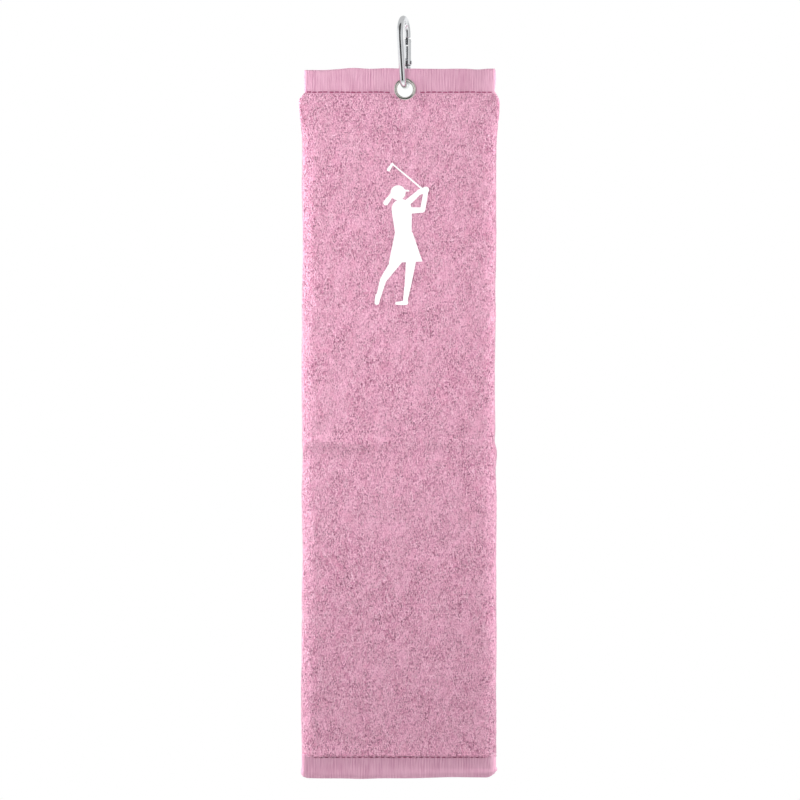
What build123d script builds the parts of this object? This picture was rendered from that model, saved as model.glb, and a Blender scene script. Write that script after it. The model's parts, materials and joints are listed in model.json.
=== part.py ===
"""Tri-fold golf towel: a terry cloth folded in three lengthwise, held together by an eyelet
near its top edge, hanging from a small D-shaped snap hook.

Row frame: +Z up, +Y towards the towel's back, +X to the right of someone facing its front.
The origin is the seat of the snap hook: the middle of the inside of its top bend, where the
hook hangs on a ring or a strap. All sizes are in millimetres.
"""

from build123d import *
import math
import os

# ---- driving dimensions ---------------------------------------------------------------------

# Snap hook, bent from round rod. U is across the hook, from its spine to its gate.
ROD_R = 2.3
TOP_BEND_R = 11.5            # centreline radius of the wide end
FOOT_BEND_R = 7.7            # centreline radius of the narrow end
HOOK_HEIGHT = 52.7           # outside
HOOK_TURN = 13.6             # how far the hook's plane is turned from the towel's normal, degrees

# Gate and what it holds
GATE_R = 2.6
GATE_ROUNDING = 0.7
GATE_TOP_Z = -11.3
NOSE_SHOULDER_Z = -10.7
NOSE_ROUNDING = 1.0
PIVOT_Z = -28.3
FORK_SLOT = 1.9              # width of the slot at either end of the gate
TANG_T = 1.6                 # thickness of the flat tongues that run in those slots
TANG_R = 2.1
TANG_FLAT = 1.6              # from the pivot to the flat that the plunger presses on
NOSE_OUT = 2.0               # the nose's tongue, from the gate's axis to its outer edge
NOSE_IN = 1.9                # and to its inner edge
NOSE_OUT_CHAMFER = 1.0
NOSE_IN_CHAMFER = 0.8
ROOT = 1.0                   # how deep a tongue's root is let into the rod
HOOK_SHOULDER_DROP = 3.0     # from the pivot down to the rod's full section
LOWER_SLOT_DEPTH = 3.0       # from the pivot up to the root of the lower slot
UPPER_SLOT_Z = -16.6
NOSE_TIP_Z = -15.6
PIVOT_PIN_R = 0.9
PIVOT_CLEARANCE = 0.05
PIVOT_HEAD_R = 1.4
PIVOT_HEAD_T = 0.35
SPOT_FACE = 2.0              # half the side of the flat under a head of the pivot pin
LATCH_PIN_R = 0.55
LATCH_Z = -13.1
LATCH_OUT = 0.2              # the latch pin's offset towards the outside of the hook
LATCH_SHORT = 0.1            # the latch pin is this much shorter than its bore
NOTCH_ABOVE = 0.7
NOTCH_BELOW = 0.95
SPRING_BORE_R = 1.25
SPRING_BORE_TOP_Z = -18.3
SPRING_WIRE_R = 0.17
SPRING_MEAN_R = 0.9
SPRING_PITCH = 0.62
SPRING_LENGTH = 4.05
PLUNGER_R = 1.2
PLUNGER_TIP_R = 0.75
PLUNGER_LENGTH = 2.4
PLUNGER_GAP = 0.15           # left between the plunger's tip and the tang's flat
BORE_STEP = 0.1              # from the slot's root up to the plunger's body
SPRING_SEAT = 0.05           # left between the plunger and the spring's first turn
CUT = 4.0                    # how far a cut in the hook or gate runs past what it cuts

# Eyelet
EYELET_BORE_R = 5.6
EYELET_BARREL_R = 6.0
EYELET_FLANGE_R = 8.0
EYELET_CROWN_R = 6.9
EYELET_HALF_DEPTH = 3.3
EYELET_CLAMP = 2.0           # half the thickness of cloth between its flanges
EYELET_STRAIGHT = 0.8        # half the straight stretch of its bore
EYELET_DROP = 2.25           # from the rod's centre down to the eyelet's centre
WASHER_T = 0.6
WASHER_BORE_GAP = 0.05
WASHER_CHAMFER = 0.3
CLOTH_CUT_GAP = 0.1          # between the barrel and the hole through the cloth
CROWN_BULGE = (-0.25, -0.42)  # the front flange's mid-curve, from its edge radius and front face
LIP_EDGE = 0.35              # the rolled lip's edge, out from the crown
LIP_BULGE = (0.28, -0.2)     # the lip's mid-curve, from the crown

# Towel, folded in three
TOWEL_TOP_Z = -33.4
TOWEL_LENGTH = 508.5
TOWEL_CENTRE_X = -3.3
TOWEL_WIDTH = 142.0          # folded, over the two folds
TOP_HEM_WIDTH = 137.0
TOP_HEM_H = 16.2
BOTTOM_HEM_WIDTH = 139.0
BOTTOM_HEM_H = 15.8
HEM_T = 1.2                  # one layer, pressed by the eyelet
HEM_PITCH = 1.35
BOTTOM_HEM_T = 2.0
TERRY_T = 3.0                # one layer with its pile
TERRY_PITCH = 3.5
SWELL_FROM_Z = -58.0         # above this the layers are as thin as the hem
SWELL_TO_Z = -90.0           # below this they have their full thickness
PIECE_GAP = 0.15             # between cloth pieces that touch on the real towel
MOVING_GAP = 0.3             # between the outer flap and what it moves past
LEFT_FLAP_SHORT = 4.0        # the hidden flap stops this far before the right fold
RIGHT_FLAP_SHORT = 3.0       # the outer flap stops this far before the left edge
SIDE_HEM_W = 8.0
SIDE_HEM_T = 2.0
FLAP_SPLIT_Z = -170.0        # above this the eyelet keeps the outer flap shut

# Thread
STITCH_L = 2.6
STITCH_PITCH = 4.0
STITCH_W = 0.5
STITCH_T = 0.15
STITCH_INSET = 0.9           # from a hem's inner edge to its row of stitches
TOP_ROW_MARGIN = 4.0         # from the folded hem's edge to the end of its row
BOTTOM_ROW_MARGIN = 6.0
FLAP_ROW_MARGIN = 8.0
EYELET_MARGIN = 1.0          # from the eyelet's flange to the nearest stitch

# Printed golfer, a film on the front
PRINT_T = 0.25
PRINT_TOP_Z = -101.0
PRINT_FOOT_Z = -203.0
PRINT_X = -1.0               # the figure's middle
PRINT_DRAWN_H = 99.4         # height at which golfer_print() draws the figure

# ---- derived places -------------------------------------------------------------------------

TOP_BEND_Z = ROD_R - TOP_BEND_R
ROD_FOOT_Z = 2 * ROD_R - HOOK_HEIGHT + ROD_R     # centreline at the lowest point
FOOT_BEND_U = TOP_BEND_R - FOOT_BEND_R
FOOT_BEND_Z = ROD_FOOT_Z + FOOT_BEND_R
GATE_U = TOP_BEND_R
TURN = math.radians(HOOK_TURN)
EYELET_X = FOOT_BEND_U * math.sin(TURN)
TOWEL_Y = FOOT_BEND_U * math.cos(TURN)
EYELET_Z = ROD_FOOT_Z - EYELET_DROP
TOP_HEM_Z = TOWEL_TOP_Z - TOP_HEM_H
BOTTOM_Z = TOWEL_TOP_Z - TOWEL_LENGTH
BOTTOM_HEM_Z = BOTTOM_Z + BOTTOM_HEM_H
LEFT_X = TOWEL_CENTRE_X - TOWEL_WIDTH / 2
RIGHT_X = TOWEL_CENTRE_X + TOWEL_WIDTH / 2
FRONT_Y = TOWEL_Y - TERRY_PITCH - TERRY_T / 2    # the front face where the pile is full
FULL_FOLD_R = TERRY_PITCH + TERRY_T / 2          # outer radius of the right fold, full pile
FLAP_HINGE_X = RIGHT_X - FULL_FOLD_R - MOVING_GAP
LEFT_HEM_X = FLAP_HINGE_X - LEFT_FLAP_SHORT - SIDE_HEM_W
RIGHT_HEM_X = LEFT_X + RIGHT_FLAP_SHORT
TERRY_TOP_Z = TOP_HEM_Z - PIECE_GAP
TERRY_FOOT_Z = BOTTOM_HEM_Z + PIECE_GAP
FLAP_ROOT_FOOT_Z = FLAP_SPLIT_Z + MOVING_GAP
FLAP_FOOT_Z = BOTTOM_HEM_Z + MOVING_GAP


# ---- helpers --------------------------------------------------------------------------------

def hook_frame(shape):
    """Turns a shape drawn with X across the hook and Z up into the row frame."""
    return Rot(0, 0, 90 - HOOK_TURN) * shape


def slab(x0, x1, y0, y1, z0, z1):
    """A box between two corners."""
    return Pos((x0 + x1) / 2, (y0 + y1) / 2, (z0 + z1) / 2) * Box(x1 - x0, y1 - y0, z1 - z0)


def rod_across_hook(radius, length, u, z):
    """A round pin square to the hook's plane, centred on it."""
    return Pos(u, 0, z) * Rot(90, 0, 0) * Cylinder(radius, length)


def flat_in_hook(outline, thickness):
    """A plate of an outline drawn in the hook's plane, centred on that plane."""
    face = make_face(Polyline(*[(u, 0, z) for u, z in outline], close=True))
    return extrude(face, amount=thickness / 2, both=True)


def eyelet_cut():
    """The round hole through the cloth that the eyelet's barrel takes."""
    hole = Cylinder(EYELET_BARREL_R + CLOTH_CUT_GAP, 2 * EYELET_FLANGE_R)
    return Pos(EYELET_X, TOWEL_Y, EYELET_Z) * Rot(90, 0, 0) * hole


# ---- snap hook ------------------------------------------------------------------------------

def hook_centreline():
    """Nose, wide bend, slanting spine, narrow bend and the short leg up to the gate."""
    lean = 2 * math.atan2(FOOT_BEND_U, TOP_BEND_Z - FOOT_BEND_Z)
    spine_angle = 180 + math.degrees(lean)

    def on_bend(u, z, radius, degrees):
        angle = math.radians(degrees)
        return (u + radius * math.cos(angle), 0, z + radius * math.sin(angle))

    def bend(u, z, radius, start, end):
        middle = (start + end) / 2
        return ThreePointArc(*[on_bend(u, z, radius, d) for d in (start, middle, end)])

    nose = Line((GATE_U, 0, NOSE_SHOULDER_Z), (GATE_U, 0, TOP_BEND_Z))
    top = bend(0, TOP_BEND_Z, TOP_BEND_R, 0, spine_angle)
    foot = bend(FOOT_BEND_U, FOOT_BEND_Z, FOOT_BEND_R, spine_angle, 360)
    leg = Line(foot @ 1, (GATE_U, 0, PIVOT_Z - HOOK_SHOULDER_DROP))
    return Wire([nose, top, Line(top @ 1, foot @ 0), foot, leg])


def hook_nose():
    """The hooked tongue that the gate's latch pin drops into."""
    outer, inner = GATE_U + NOSE_OUT, GATE_U - NOSE_IN
    root_z = NOSE_SHOULDER_Z + ROOT
    tongue = flat_in_hook(
        [(inner, root_z), (outer, root_z), (outer, NOSE_TIP_Z + NOSE_OUT_CHAMFER),
         (outer - NOSE_OUT_CHAMFER, NOSE_TIP_Z), (inner + NOSE_IN_CHAMFER, NOSE_TIP_Z),
         (inner, NOSE_TIP_Z + NOSE_IN_CHAMFER)],
        TANG_T)
    seat = GATE_U + LATCH_OUT
    notch = slab(inner - CUT, seat, -TANG_T, TANG_T, LATCH_Z - NOTCH_BELOW, LATCH_Z + NOTCH_ABOVE)
    return tongue - notch - rod_across_hook(NOTCH_ABOVE, 2 * TANG_T, seat, LATCH_Z)


def hook_tang():
    """The flat tongue at the rod's other end that the gate turns on."""
    foot = PIVOT_Z - HOOK_SHOULDER_DROP - ROOT
    tang = slab(GATE_U - TANG_R, GATE_U + TANG_R, -TANG_T / 2, TANG_T / 2, foot, PIVOT_Z)
    tang += rod_across_hook(TANG_R, TANG_T, GATE_U, PIVOT_Z)
    tang -= slab(GATE_U - CUT, GATE_U + CUT, -CUT, CUT, PIVOT_Z + TANG_FLAT, PIVOT_Z + CUT)
    return tang - rod_across_hook(PIVOT_PIN_R, 2 * CUT, GATE_U, PIVOT_Z)


def clip_body():
    path = hook_centreline()
    section = Plane(origin=path @ 0, z_dir=path % 0) * Circle(ROD_R)
    rod = sweep(section, path=path)
    nose_face = rod.faces().sort_by_distance((GATE_U, 0, NOSE_SHOULDER_Z))[0]
    rod = fillet(nose_face.edges(), NOSE_ROUNDING)
    return hook_frame(rod + hook_nose() + hook_tang())


def gate_pivot_pin():
    """Pressed through the tang, with a low head outside each cheek of the gate."""
    pin = rod_across_hook(PIVOT_PIN_R, 2 * GATE_R + 2 * PIVOT_HEAD_T, GATE_U, PIVOT_Z)
    for side in (-1, 1):
        head = rod_across_hook(PIVOT_HEAD_R, PIVOT_HEAD_T, GATE_U, PIVOT_Z)
        pin += Pos(0, side * (GATE_R + PIVOT_HEAD_T / 2 + PIVOT_CLEARANCE), 0) * head
    return hook_frame(pin)


def gate():
    """A round bar, slotted at both ends and bored for its spring."""
    height = GATE_TOP_Z - PIVOT_Z
    bar = Pos(GATE_U, 0, PIVOT_Z + height / 2) * Cylinder(GATE_R, height)
    bar = fillet(bar.edges().group_by(Axis.Z)[-1], GATE_ROUNDING)
    bar += Pos(GATE_U, 0, PIVOT_Z) * Cylinder(GATE_R, 2 * GATE_R) & rod_across_hook(
        GATE_R, 2 * GATE_R, GATE_U, PIVOT_Z)
    half_slot = FORK_SLOT / 2
    bar -= slab(GATE_U - CUT, GATE_U + CUT, -half_slot, half_slot, PIVOT_Z - CUT,
                PIVOT_Z + LOWER_SLOT_DEPTH)
    bar -= slab(GATE_U - CUT, GATE_U + CUT, -half_slot, half_slot, UPPER_SLOT_Z, 0)
    bore_foot = PIVOT_Z + LOWER_SLOT_DEPTH - ROOT
    bar -= Pos(GATE_U, 0, (bore_foot + SPRING_BORE_TOP_Z) / 2) * Cylinder(
        SPRING_BORE_R, SPRING_BORE_TOP_Z - bore_foot)
    bar -= rod_across_hook(PIVOT_PIN_R + PIVOT_CLEARANCE, 2 * CUT, GATE_U, PIVOT_Z)
    for side in (-1, 1):     # a flat spot-face under each head of the pivot pin
        y0, y1 = sorted((side * GATE_R, side * (GATE_R + CUT)))
        bar -= slab(GATE_U - SPOT_FACE, GATE_U + SPOT_FACE, y0, y1, PIVOT_Z - SPOT_FACE,
                    PIVOT_Z + SPOT_FACE)
    bar -= rod_across_hook(LATCH_PIN_R, 2 * CUT, GATE_U + LATCH_OUT, LATCH_Z)
    return hook_frame(bar)


def latch_pin():
    length = 2 * math.sqrt(GATE_R ** 2 - (LATCH_OUT + LATCH_PIN_R) ** 2) - LATCH_SHORT
    return hook_frame(rod_across_hook(LATCH_PIN_R, length, GATE_U + LATCH_OUT, LATCH_Z))


def spring_plunger():
    tip_foot = PIVOT_Z + TANG_FLAT + PLUNGER_GAP
    body_foot = PIVOT_Z + LOWER_SLOT_DEPTH + BORE_STEP
    tip = Pos(GATE_U, 0, (tip_foot + body_foot) / 2) * Cylinder(PLUNGER_TIP_R, body_foot - tip_foot)
    body = Pos(GATE_U, 0, body_foot + PLUNGER_LENGTH / 2) * Cylinder(PLUNGER_R, PLUNGER_LENGTH)
    return hook_frame(tip + body)


def gate_spring():
    foot = PIVOT_Z + LOWER_SLOT_DEPTH + BORE_STEP + PLUNGER_LENGTH + SPRING_WIRE_R + SPRING_SEAT
    coil = Pos(GATE_U, 0, foot) * Helix(SPRING_PITCH, SPRING_LENGTH, SPRING_MEAN_R)
    section = Plane(origin=coil @ 0, z_dir=coil % 0) * Circle(SPRING_WIRE_R)
    return hook_frame(sweep(section, path=coil, is_frenet=True))


# ---- eyelet ---------------------------------------------------------------------------------

def turned_about_eyelet(outline):
    """Revolves a closed outline, drawn as (radius, depth), about the eyelet's axis."""
    ring = revolve(make_face(outline), axis=Axis.Y, revolution_arc=360)
    return Pos(EYELET_X, TOWEL_Y, EYELET_Z) * ring


def eyelet():
    """Front flange, flared barrel, and the lip that is rolled over the washer."""
    flare_w, flare_d = EYELET_CROWN_R - EYELET_BORE_R, EYELET_HALF_DEPTH - EYELET_STRAIGHT

    def flare(side):
        return ThreePointArc((EYELET_BORE_R, side * EYELET_STRAIGHT),
                             (EYELET_CROWN_R - flare_w * math.cos(math.pi / 4),
                              side * (EYELET_STRAIGHT + flare_d * math.sin(math.pi / 4))),
                             (EYELET_CROWN_R, side * EYELET_HALF_DEPTH))

    front, rear = flare(-1), flare(1)
    flange_edge = (EYELET_FLANGE_R, -EYELET_CLAMP)
    crown = ThreePointArc(front @ 1, (EYELET_FLANGE_R + CROWN_BULGE[0],
                                      -EYELET_HALF_DEPTH - CROWN_BULGE[1]), flange_edge)
    lip_y = EYELET_CLAMP + WASHER_T
    lip_edge = (EYELET_CROWN_R + LIP_EDGE, lip_y)
    lip = ThreePointArc(rear @ 1, (EYELET_CROWN_R + LIP_BULGE[0],
                                   EYELET_HALF_DEPTH + LIP_BULGE[1]), lip_edge)
    shank_front, shank_rear = (EYELET_BARREL_R, -EYELET_CLAMP), (EYELET_BARREL_R, lip_y)
    straights = [Line(flange_edge, shank_front), Line(shank_front, shank_rear),
                 Line(shank_rear, lip_edge), Line(rear @ 0, front @ 0)]
    return turned_about_eyelet([front, crown, lip, rear] + straights)


def eyelet_washer():
    inner, outer = EYELET_BARREL_R + WASHER_BORE_GAP, EYELET_FLANGE_R
    back = EYELET_CLAMP + WASHER_T
    outline = Polyline((inner, EYELET_CLAMP), (outer, EYELET_CLAMP), (outer, back - WASHER_CHAMFER),
                       (outer - WASHER_CHAMFER, back), (inner, back), close=True)
    return turned_about_eyelet(outline)


# ---- towel ----------------------------------------------------------------------------------

LEVELS = [(TERRY_TOP_Z, HEM_T, HEM_PITCH), (SWELL_FROM_Z, HEM_T, HEM_PITCH),
          (SWELL_TO_Z, TERRY_T, TERRY_PITCH), (TERRY_FOOT_Z, TERRY_T, TERRY_PITCH)]


def at_level(z):
    """Layer thickness and pitch at a height: the cloth is thin by the hem and swells below it."""
    for (z0, t0, p0), (z1, t1, p1) in zip(LEVELS, LEVELS[1:]):
        if z1 <= z <= z0:
            share = (z0 - z) / (z0 - z1)
            return t0 + share * (t1 - t0), p0 + share * (p1 - p0)
    raise ValueError("outside the terry")


def loft_down(face_at, top_z, foot_z):
    """Lofts a section down through the heights where the cloth's thickness changes."""
    heights = [top_z] + [z for z, _, _ in LEVELS if foot_z < z < top_z] + [foot_z]
    faces = [Pos(0, 0, z) * face_at(*at_level(z)) for z in heights]
    solid = loft(faces[:2], ruled=True)
    for upper, lower in zip(faces[1:], faces[2:]):
        solid += loft([upper, lower], ruled=True)
    return solid


def left_fold_r(t, p):
    """Outer radius of the fold that joins the front layer to the middle one."""
    return (p + t) / 2


def right_fold_r(t, p):
    """Outer radius of the fold that joins the front layer to the back one."""
    return p + t / 2


def front_outline(t, p):
    x0 = LEFT_X + left_fold_r(t, p)
    x1 = RIGHT_X - right_fold_r(t, p)
    y0, y1 = TOWEL_Y - p - t / 2, TOWEL_Y - p + t / 2
    return [Line((x0, y0), (x1, y0)), Line((x1, y0), (x1, y1)), Line((x1, y1), (x0, y1)),
            Line((x0, y1), (x0, y0))]


def middle_outline(t, p):
    """The left fold and the middle layer, as far as its side hem."""
    radius, bend_y = left_fold_r(t, p), TOWEL_Y - p / 2
    x0 = LEFT_X + radius
    x1 = LEFT_HEM_X - PIECE_GAP
    inner = radius - t
    return [Line((x0, bend_y + radius), (x1, bend_y + radius)),
            Line((x1, bend_y + radius), (x1, bend_y + inner)),
            Line((x1, bend_y + inner), (x0, bend_y + inner)),
            ThreePointArc((x0, bend_y + inner), (x0 - inner, bend_y), (x0, bend_y - inner)),
            Line((x0, bend_y - inner), (x0, bend_y - radius)),
            ThreePointArc((x0, bend_y - radius), (x0 - radius, bend_y), (x0, bend_y + radius))]


def right_fold_outline(t, p):
    radius = right_fold_r(t, p)
    x0, inner = RIGHT_X - radius, radius - t
    return [ThreePointArc((x0, TOWEL_Y - radius), (x0 + radius, TOWEL_Y), (x0, TOWEL_Y + radius)),
            Line((x0, TOWEL_Y + radius), (x0, TOWEL_Y + inner)),
            ThreePointArc((x0, TOWEL_Y + inner), (x0 + inner, TOWEL_Y), (x0, TOWEL_Y - inner)),
            Line((x0, TOWEL_Y - inner), (x0, TOWEL_Y - radius))]


def back_outline(t, p):
    """The back layer, from its side hem to the right fold."""
    x0 = RIGHT_HEM_X + SIDE_HEM_W + PIECE_GAP
    x1 = FLAP_HINGE_X
    y0, y1 = TOWEL_Y + p - t / 2, TOWEL_Y + p + t / 2
    return [Line((x0, y0), (x1, y0)), Line((x1, y0), (x1, y1)), Line((x1, y1), (x0, y1)),
            Line((x0, y1), (x0, y0))]


def layer(outline, top_z, foot_z):
    """A layer of cloth of an outline that depends on its thickness and pitch."""
    return loft_down(lambda t, p: make_face(Wire(outline(t, p))), top_z, foot_z)


def front_panel():
    return layer(front_outline, TERRY_TOP_Z, TERRY_FOOT_Z) - eyelet_cut()


def left_flap():
    return layer(middle_outline, TERRY_TOP_Z, TERRY_FOOT_Z) - eyelet_cut()


def right_fold():
    return layer(right_fold_outline, TERRY_TOP_Z, TERRY_FOOT_Z)


def right_flap_root():
    """The stretch of the back layer that the eyelet keeps shut."""
    root = layer(back_outline, TERRY_TOP_Z, FLAP_ROOT_FOOT_Z)
    return root - eyelet_cut()


def right_flap():
    return layer(back_outline, FLAP_SPLIT_Z, FLAP_FOOT_Z)


def side_hem(x0, layer_count, top_z, foot_z):
    """A side hem on the layer that lies that many pitches behind the middle one."""
    def face(t, p):
        hem = Rectangle(SIDE_HEM_W, min(t, SIDE_HEM_T))
        return Pos(x0 + SIDE_HEM_W / 2, TOWEL_Y + layer_count * p, 0) * hem

    return loft_down(face, top_z, foot_z)


def left_flap_side_hem():
    return side_hem(LEFT_HEM_X, 0, TERRY_TOP_Z, TERRY_FOOT_Z)


def right_flap_root_side_hem():
    return side_hem(RIGHT_HEM_X, 1, TERRY_TOP_Z, FLAP_ROOT_FOOT_Z)


def right_flap_side_hem():
    return side_hem(RIGHT_HEM_X, 1, FLAP_SPLIT_Z, FLAP_FOOT_Z)


def folded_band(width, t, p, z0, z1, with_back):
    """A hem band that follows the folded cloth: front, left fold, middle, and the back if asked."""
    left, right = TOWEL_CENTRE_X - width / 2, TOWEL_CENTRE_X + width / 2
    left_r, right_r = left_fold_r(t, p), right_fold_r(t, p)
    front_left, front_right = left + left_r, right - right_r
    front = slab(front_left, front_right, TOWEL_Y - p - t / 2, TOWEL_Y - p + t / 2, z0, z1)
    middle = slab(front_left, front_right - LEFT_FLAP_SHORT, TOWEL_Y - t / 2, TOWEL_Y + t / 2, z0, z1)
    bend_y = TOWEL_Y - p / 2
    bend = Pos(front_left, bend_y, (z0 + z1) / 2) * (
        Cylinder(left_r, z1 - z0) - Cylinder(left_r - t, z1 - z0))
    bend &= slab(left, front_left, TOWEL_Y - 2 * left_r, TOWEL_Y + 2 * left_r, z0, z1)
    right_bend = Pos(front_right, TOWEL_Y, (z0 + z1) / 2) * (
        Cylinder(right_r, z1 - z0) - Cylinder(right_r - t, z1 - z0))
    right_bend &= slab(front_right, right, TOWEL_Y - right_r, TOWEL_Y + right_r, z0, z1)
    band = front + middle + bend + right_bend
    if with_back:
        band += slab(left + RIGHT_FLAP_SHORT, front_right, TOWEL_Y + p - t / 2, TOWEL_Y + p + t / 2,
                     z0, z1)
    return band


def top_hem():
    band = folded_band(TOP_HEM_WIDTH, HEM_T, HEM_PITCH, TOP_HEM_Z, TOWEL_TOP_Z, True)
    return band - eyelet_cut()


def bottom_hem():
    return folded_band(BOTTOM_HEM_WIDTH, BOTTOM_HEM_T, TERRY_PITCH, BOTTOM_Z, BOTTOM_HEM_Z, False)


def right_flap_bottom_hem():
    left = TOWEL_CENTRE_X - BOTTOM_HEM_WIDTH / 2 + RIGHT_FLAP_SHORT
    bend = TOWEL_CENTRE_X + BOTTOM_HEM_WIDTH / 2 - right_fold_r(BOTTOM_HEM_T, TERRY_PITCH)
    right = min(FLAP_HINGE_X, bend - MOVING_GAP)
    middle = TOWEL_Y + TERRY_PITCH
    return slab(left, right, middle - BOTTOM_HEM_T / 2, middle + BOTTOM_HEM_T / 2, BOTTOM_Z,
                BOTTOM_HEM_Z)


# ---- thread ---------------------------------------------------------------------------------

def stitch_row(x0, x1, y_outer, side, z):
    """Stitches along X that stand out of a face at y_outer, to the front (-1) or the back (1)."""
    count = int((x1 - x0) // STITCH_PITCH)
    start = (x0 + x1 - (count - 1) * STITCH_PITCH) / 2
    y0, y1 = sorted((y_outer, y_outer + side * STITCH_T))
    return [slab(start + i * STITCH_PITCH - STITCH_L / 2, start + i * STITCH_PITCH + STITCH_L / 2,
                 y0, y1, z - STITCH_W / 2, z + STITCH_W / 2) for i in range(count)]


def top_hem_thread():
    """The lockstitch row of the top hem on the front, interrupted by the eyelet."""
    y = TOWEL_Y - HEM_PITCH - HEM_T / 2
    z = TOP_HEM_Z + STITCH_INSET
    left = TOWEL_CENTRE_X - TOP_HEM_WIDTH / 2 + TOP_ROW_MARGIN
    right = TOWEL_CENTRE_X + TOP_HEM_WIDTH / 2 - TOP_ROW_MARGIN
    gap = EYELET_FLANGE_R + EYELET_MARGIN
    return Compound(children=stitch_row(left, EYELET_X - gap, y, -1, z)
                    + stitch_row(EYELET_X + gap, right, y, -1, z))


def bottom_hem_thread():
    y = TOWEL_Y - TERRY_PITCH - BOTTOM_HEM_T / 2
    half = BOTTOM_HEM_WIDTH / 2 - BOTTOM_ROW_MARGIN
    return Compound(children=stitch_row(TOWEL_CENTRE_X - half, TOWEL_CENTRE_X + half, y, -1,
                                        BOTTOM_HEM_Z - STITCH_INSET))


def right_flap_hem_thread():
    """The row of the bottom hem on the outer flap, which shows from behind."""
    y = TOWEL_Y + TERRY_PITCH + BOTTOM_HEM_T / 2
    half = BOTTOM_HEM_WIDTH / 2 - FLAP_ROW_MARGIN
    return Compound(children=stitch_row(TOWEL_CENTRE_X - half, TOWEL_CENTRE_X + half, y, 1,
                                        BOTTOM_HEM_Z - STITCH_INSET))


# ---- printed golfer -------------------------------------------------------------------------

def limb(points, width_start, width_end):
    """A straight limb with round ends that tapers from one width to the other."""
    (x0, z0), (x1, z1) = points
    a, b = Vector(x0, z0), Vector(x1, z1)
    across = (b - a).normalized().rotate(Axis.Z, 90)
    corners = [a + across * (width_start / 2), b + across * (width_end / 2),
               b - across * (width_end / 2), a - across * (width_start / 2)]
    blade = make_face(Polyline(*[(c.X, c.Y) for c in corners], close=True))
    return blade + Pos(x0, z0) * Circle(width_start / 2) + Pos(x1, z1) * Circle(width_end / 2)


def golfer_print():
    """A plain pictogram of a golfer at the end of a swing, built of limbs, a disc and a skirt."""
    shoulder, hip = (-0.5, 67.0), (1.0, 47.0)
    figure = limb((shoulder, hip), 14.0, 11.0)
    figure += make_face(Polyline((-5.0, 51.0), (7.0, 51.0), (14.0, 30.5), (-9.5, 29.5), close=True))
    figure += Pos(-3.0, 78.5) * Circle(5.2)
    figure += limb(((-2.0, 80.6), (4.4, 79.8)), 1.6, 1.0)
    figure += limb(((-7.5, 77.0), (-11.5, 71.5)), 2.6, 3.6)
    figure += limb(((0.5, 69.0), (12.0, 79.0)), 5.0, 3.4)
    figure += limb(((4.0, 66.0), (14.2, 66.5)), 4.6, 3.6)
    figure += limb(((14.2, 66.5), (16.5, 80.0)), 3.6, 3.2)
    figure += limb(((12.0, 79.0), (16.5, 80.5)), 3.8, 4.4)
    figure += limb(((14.0, 81.0), (-7.0, 98.6)), 1.3, 0.9)
    figure += limb(((-7.0, 98.6), (-9.6, 94.6)), 1.6, 2.4)
    figure += limb(((-4.0, 31.0), (-13.5, 17.5)), 7.2, 4.4)
    figure += limb(((-13.5, 17.5), (-17.0, 4.5)), 4.4, 3.0)
    figure += limb(((-17.0, 6.5), (-17.8, 1.8)), 3.6, 3.2)
    figure += limb(((6.0, 31.0), (4.0, 15.0)), 7.0, 4.6)
    figure += limb(((4.0, 15.0), (2.0, 3.0)), 4.6, 3.2)
    figure += limb(((2.4, 1.8), (-4.0, 1.2)), 3.4, 2.0)
    scale = (PRINT_TOP_Z - PRINT_FOOT_Z) / PRINT_DRAWN_H
    front = Plane(origin=(PRINT_X, FRONT_Y, PRINT_FOOT_Z), x_dir=(1, 0, 0), z_dir=(0, -1, 0))
    return extrude(front * figure.scale(scale), amount=PRINT_T)


# ---- build ----------------------------------------------------------------------------------

PIECES = [
    clip_body, gate_pivot_pin, gate, latch_pin, spring_plunger, gate_spring,
    eyelet, eyelet_washer, top_hem, front_panel, left_flap, left_flap_side_hem, right_fold,
    right_flap_root, right_flap_root_side_hem, right_flap, right_flap_side_hem, bottom_hem,
    right_flap_bottom_hem, top_hem_thread, bottom_hem_thread, right_flap_hem_thread, golfer_print,
]


def main():
    os.makedirs("parts", exist_ok=True)
    for piece in PIECES:
        shape = piece()
        export_step(shape, f"parts/{piece.__name__}.step")


main()
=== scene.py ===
"""Looks of the tri-fold golf towel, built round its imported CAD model. Metres throughout.

The cloth is one ribbon folded in three: the middle layer, the left fold, the front layer, the
right fold and the back layer. Every cloth piece is a stretch of that ribbon, so all of them
share section(), and their weave follows the cloth's own coordinates, kept in an attribute.
"""

import bmesh
import bpy
import json
import math
import numpy as np
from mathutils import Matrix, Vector
from mathutils.bvhtree import BVHTree


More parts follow.
